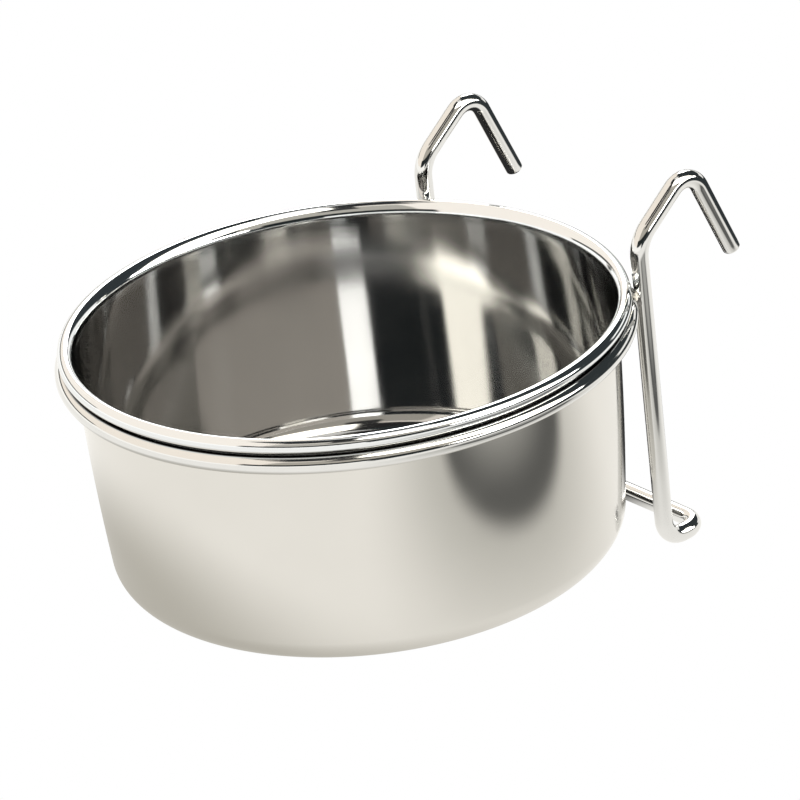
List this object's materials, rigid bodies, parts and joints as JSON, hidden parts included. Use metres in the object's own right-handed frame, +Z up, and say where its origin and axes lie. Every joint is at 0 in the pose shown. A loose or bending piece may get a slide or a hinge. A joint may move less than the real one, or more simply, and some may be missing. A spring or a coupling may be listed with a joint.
{
  "type": "hook-on feeding cup",
  "caption": "Round steel feeding cup with a rolled rim, resting in a ring of welded wire whose hooks hang it on a cage wall; the cup lifts out.",
  "frame": {"origin": "middle of the cup's flat underside", "axes": "+Z up along the cup's axis and the lift direction, +Y towards the cage wall that the hooks hang on, X across the two hooks"},
  "size_m": [0.1252, 0.1435, 0.085],
  "materials": {
    "cup_sheet": "stainless sheet, polished inside, fine satin outside",
    "holder_wire": "bright drawn wire",
    "weld_metal": "small polished-over welds, slightly duller than the wire"
  },
  "bodies": {
    "holder": {"holder_ring": "holder_wire", "hanger_wire": "holder_wire", "ring_weld_left": "weld_metal", "ring_weld_right": "weld_metal"},
    "cup": {"cup": "cup_sheet"}
  },
  "joints": [
    {"name": "cup_lift", "type": "slide", "parent": "holder", "child": "cup", "axis": [0, 0, 1], "range_m": [0, 0.08]}
  ]
}
